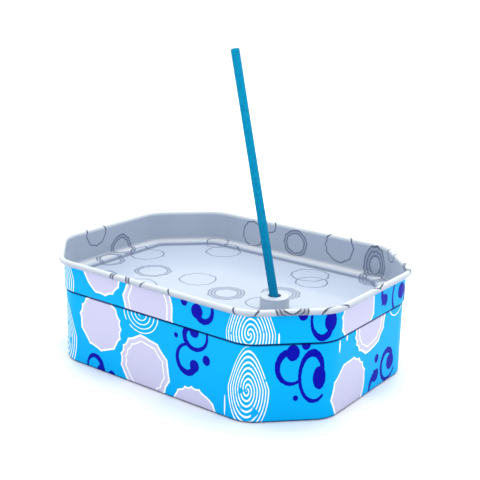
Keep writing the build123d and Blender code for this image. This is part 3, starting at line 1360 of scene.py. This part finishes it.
class TIN_OT_bottom_panel(bpy.types.Operator):
    """Makes the base's pressed bottom panel"""

    bl_idname = "tin.bottom_panel"
    bl_label = "Bottom panel"

    def execute(self, context):
        mesh = make_panel(in_millimetres(context.scene.tin_sizes))
        material = bare_tinplate(context.scene.tin_colours)
        add_piece("pressed_bottom", mesh, material, "base", "bare_tinplate", "bottom_panel")
        return {"FINISHED"}


class TIN_OT_lid_tray(bpy.types.Operator):
    """Makes the turned-over lid that serves as the ash tray"""

    bl_idname = "tin.lid_tray"
    bl_label = "Lid tray"

    def execute(self, context):
        colours = context.scene.tin_colours
        mesh, levels = make_lid(in_millimetres(context.scene.tin_sizes))
        rings = ["wall_ring", "floor_ring", "floor_ring_over"]
        material = printed_sheet("Printed lid", colours, levels, NOWHERE, rings)
        add_piece("printed_lid", mesh, material, "lid", "printed_lid", "lid_tray")
        return {"FINISHED"}


class TIN_OT_stick_holder(bpy.types.Operator):
    """Makes the round glazed holder with its socket"""

    bl_idname = "tin.stick_holder"
    bl_label = "Stick holder"

    def execute(self, context):
        mesh = make_holder(in_millimetres(context.scene.tin_sticks))
        material = glazed_holder(context.scene.tin_colours)
        add_piece("glazed_holder", mesh, material, "holder", "holder_white", "stick_holder")
        return {"FINISHED"}


class TIN_OT_incense_sticks(bpy.types.Operator):
    """Makes the leaning incense stick and the spare sticks inside the base"""

    bl_idname = "tin.incense_sticks"
    bl_label = "Incense sticks"

    def execute(self, context):
        stick = in_millimetres(context.scene.tin_sticks)
        material = incense_paste(context.scene.tin_colours)
        axis = [joint["axis"] for joint in frame["joints"] if joint["name"] == "stick_pull"][0]
        mesh = make_stick("leaning_stick", stick, middle_of("incense_stick"), axis, 48, 1.0)
        add_piece("leaning_stick", mesh, material, "stick", "incense_blue", "incense_stick")
        for node in SPARE_NODES:
            name = node.replace("spare_stick", "stored_stick")
            mesh = make_stick(name, stick, middle_of(node), (1.0, 0.0, 0.0), 32, 2.0)
            add_piece(name, mesh, material, "base", "incense_blue", node)
        return {"FINISHED"}


def add_softbox(name, size, power, place):
    """A square softbox that faces the tin."""
    light = bpy.data.lights.new(name, "AREA")
    light.shape = "SQUARE"
    light.size = size
    light.energy = power
    light.color = SOFTBOX_SHADE
    lamp = bpy.data.objects.new(name, light)
    lamp.location = place
    lamp.rotation_euler = (Vector(SOFTBOX_AIM) - Vector(place)).to_track_quat("-Z", "Y").to_euler()
    bpy.context.scene.collection.objects.link(lamp)


class TIN_OT_stage(bpy.types.Operator):
    """Makes the floor, the soft lights and the camera"""

    bl_idname = "tin.stage"
    bl_label = "Stage"

    def execute(self, context):
        scene = context.scene
        corners = np.array([(-1, -1, 0), (1, -1, 0), (1, 1, 0), (-1, 1, 0)]) * FLOOR_REACH
        mesh = bpy.data.meshes.new("studio_floor")
        mesh.from_pydata(corners.tolist(), [], [(0, 1, 2, 3)])
        mesh.materials.append(studio_floor(scene.tin_colours))
        floor = bpy.data.objects.new("studio_floor", mesh)
        scene.collection.objects.link(floor)
        for softbox in SOFTBOXES:
            add_softbox(*softbox)
        world = bpy.data.worlds.new("Studio air")
        world.use_nodes = True
        background = world.node_tree.nodes["Background"]
        background.inputs["Color"].default_value = AIR_SHADE
        background.inputs["Strength"].default_value = AIR_STRENGTH
        scene.world = world
        scene.view_settings.view_transform = "Standard"
        camera = bpy.data.cameras.new("camera")
        camera.lens = CAMERA_LENS
        camera.sensor_width = 36.0
        eye = bpy.data.objects.new("camera", camera)
        place = Vector(CAMERA_PLACE)
        back = (place - Vector(CAMERA_AIM)).normalized()
        eye.location = place
        eye.rotation_euler = back.to_track_quat("Z", "Y").to_euler()
        eye.rotation_euler.rotate_axis("Z", CAMERA_ROLL)
        scene.collection.objects.link(eye)
        scene.camera = eye
        return {"FINISHED"}


class TIN_PT_builder(bpy.types.Panel):
    """Lists the tin's pieces and its sizes and colours"""

    bl_idname = "TIN_PT_builder"
    bl_label = "Incense tin"
    bl_space_type = "VIEW_3D"
    bl_region_type = "UI"
    bl_category = "Tin"

    def draw(self, context):
        for operator in OPERATORS:
            self.layout.operator(operator.bl_idname)
        for group in ("tin_sizes", "tin_sticks", "tin_colours"):
            settings = getattr(context.scene, group)
            box = self.layout.box()
            for name in settings.__annotations__:
                box.prop(settings, name)


OPERATORS = (
    TIN_OT_printed_wall,
    TIN_OT_bottom_panel,
    TIN_OT_lid_tray,
    TIN_OT_stick_holder,
    TIN_OT_incense_sticks,
    TIN_OT_stage,
)
CLASSES = (TinSizes, StickSizes, TinColours, *OPERATORS, TIN_PT_builder)


def register():
    """Adds the classes and the scene's settings."""
    for kind in CLASSES:
        bpy.utils.register_class(kind)
    bpy.types.Scene.tin_sizes = bpy.props.PointerProperty(type=TinSizes)
    bpy.types.Scene.tin_sticks = bpy.props.PointerProperty(type=StickSizes)
    bpy.types.Scene.tin_colours = bpy.props.PointerProperty(type=TinColours)


def unregister():
    """Removes the scene's settings and the classes."""
    del bpy.types.Scene.tin_sizes
    del bpy.types.Scene.tin_sticks
    del bpy.types.Scene.tin_colours
    for kind in reversed(CLASSES):
        bpy.utils.unregister_class(kind)


def main():
    """Makes every piece and the stage."""
    register()
    bpy.ops.tin.printed_wall()
    bpy.ops.tin.bottom_panel()
    bpy.ops.tin.lid_tray()
    bpy.ops.tin.stick_holder()
    bpy.ops.tin.incense_sticks()
    bpy.ops.tin.stage()


if __name__ == "__main__":
    main()
